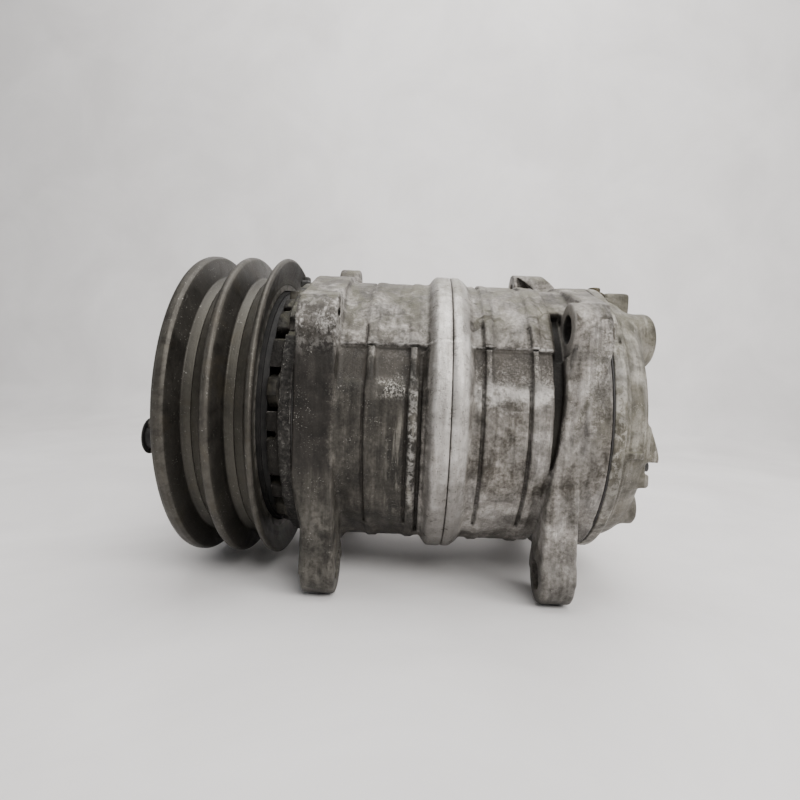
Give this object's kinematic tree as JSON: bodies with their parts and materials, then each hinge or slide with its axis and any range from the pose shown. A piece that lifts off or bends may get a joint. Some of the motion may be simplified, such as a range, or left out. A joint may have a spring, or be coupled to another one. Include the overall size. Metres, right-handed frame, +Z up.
{
  "type": "automotive air-conditioning compressor",
  "caption": "Belt-driven swash-plate air-conditioning compressor: ribbed cast cylinder halves with mounting ears, hose ports on the rear head and an electromagnetic clutch pulley for V-belts.",
  "frame": {"origin": "on the shaft axis, midway between the two belt grooves of the pulley", "axes": "+X along the shaft from the clutch to the rear head, +Z up with the compressor standing on its lower ears, +Y towards the far ears"},
  "size_m": [0.206, 0.135, 0.1425],
  "materials": {
    "cast_front": "die-cast aluminium, dark with dried oil and road grime",
    "cast_rear": "die-cast aluminium, dull warm grey with fine stains",
    "head_metal": "cast and machined aluminium, turned flange",
    "rear_head_metal": "cast aluminium, light grey and worn",
    "gasket": "rubber-coated steel gasket",
    "rubber": "black synthetic rubber",
    "machined_steel": "ground steel",
    "spring_steel": "blued spring steel",
    "zinc_steel": "zinc-plated steel, tarnished",
    "bearing_steel": "hardened bearing steel",
    "brass": "dull brass",
    "black_plastic": "black moulded plastic",
    "copper_wire": "enamelled copper wire",
    "coil_steel": "black phosphated steel",
    "pulley_steel": "pressed steel, dark brown-grey with use",
    "clutch_steel": "pressed steel, oxidised",
    "piston_alloy": "machined aluminium alloy",
    "ring_plastic": "filled fluoropolymer ring",
    "sintered_steel": "sintered steel"
  },
  "bodies": {
    "casing": {"bearing_inner_race": "bearing_steel", "bearing_needles": "bearing_steel", "bearing_snap_ring": "spring_steel", "bolt_washers": "zinc_steel", "center_o_ring": "rubber", "coil_lead_terminal": "black_plastic", "coil_screws": "zinc_steel", "coil_winding": "copper_wire", "discharge_reeds": "spring_steel", "field_coil_shell": "coil_steel", "front_cylinder": "cast_front", "front_head": "head_metal", "front_head_gasket": "gasket", "front_needle_bearing": "bearing_steel", "front_valve_plate": "machined_steel", "oil_filler_plug": "zinc_steel", "piston_1": "piston_alloy", "piston_2": "piston_alloy", "piston_3": "piston_alloy", "piston_rings": "ring_plastic", "piston_shoes": "bearing_steel", "pressure_relief_valve": "brass", "pump_cover": "rear_head_metal", "pump_cover_screws": "zinc_steel", "rear_cylinder": "cast_rear", "rear_head": "rear_head_metal", "rear_head_gasket": "gasket", "rear_needle_bearing": "bearing_steel", "rear_valve_plate": "machined_steel", "seal_retaining_ring": "spring_steel", "shaft_seal": "rubber", "suction_reeds": "spring_steel", "swash_plate": "machined_steel", "thermal_switch": "black_plastic", "through_bolts": "zinc_steel", "thrust_needles": "bearing_steel", "thrust_races": "machined_steel", "thrust_washers": "machined_steel"},
    "pulley": {"sheave_front": "pulley_steel", "sheave_middle": "pulley_steel", "sheave_rear": "pulley_steel", "clutch_rotor": "pulley_steel", "bearing_outer_race": "bearing_steel", "bearing_seals": "rubber"},
    "ball_set": {"bearing_balls": "bearing_steel"},
    "shaft": {"drive_shaft": "machined_steel", "hub_key": "machined_steel", "clutch_hub": "clutch_steel", "hub_nut": "zinc_steel", "gap_shims": "machined_steel", "hub_rivets": "zinc_steel", "rubber_stops": "rubber", "armature_springs": "spring_steel", "pump_inner_rotor": "sintered_steel"},
    "armature": {"armature_plate": "clutch_steel", "armature_rivets": "zinc_steel"},
    "pump_ring": {"pump_outer_rotor": "sintered_steel"}
  },
  "joints": [
    {"name": "pulley_spin", "type": "hinge", "parent": "casing", "child": "pulley", "pos_m": [0, 0, 0], "axis": [1, 0, 0], "continuous": true},
    {"name": "ball_set_spin", "type": "hinge", "parent": "casing", "child": "ball_set", "pos_m": [0, 0, 0], "axis": [1, 0, 0], "continuous": true},
    {"name": "shaft_spin", "type": "hinge", "parent": "casing", "child": "shaft", "pos_m": [0, 0, 0], "axis": [1, 0, 0], "continuous": true},
    {"name": "pump_ring_spin", "type": "hinge", "parent": "casing", "child": "pump_ring", "pos_m": [0.165, -0.0013, 0], "axis": [1, 0, 0], "continuous": true},
    {"name": "armature_engage", "type": "slide", "parent": "shaft", "child": "armature", "axis": [1, 0, 0], "range_m": [0, 0.00055], "stiffness_N_per_m": 8000}
  ],
  "couplings": [
    {"joint": "ball_set_spin", "follows": "pulley_spin", "ratio": 0.5583},
    {"joint": "pump_ring_spin", "follows": "shaft_spin", "ratio": 0.8}
  ]
}
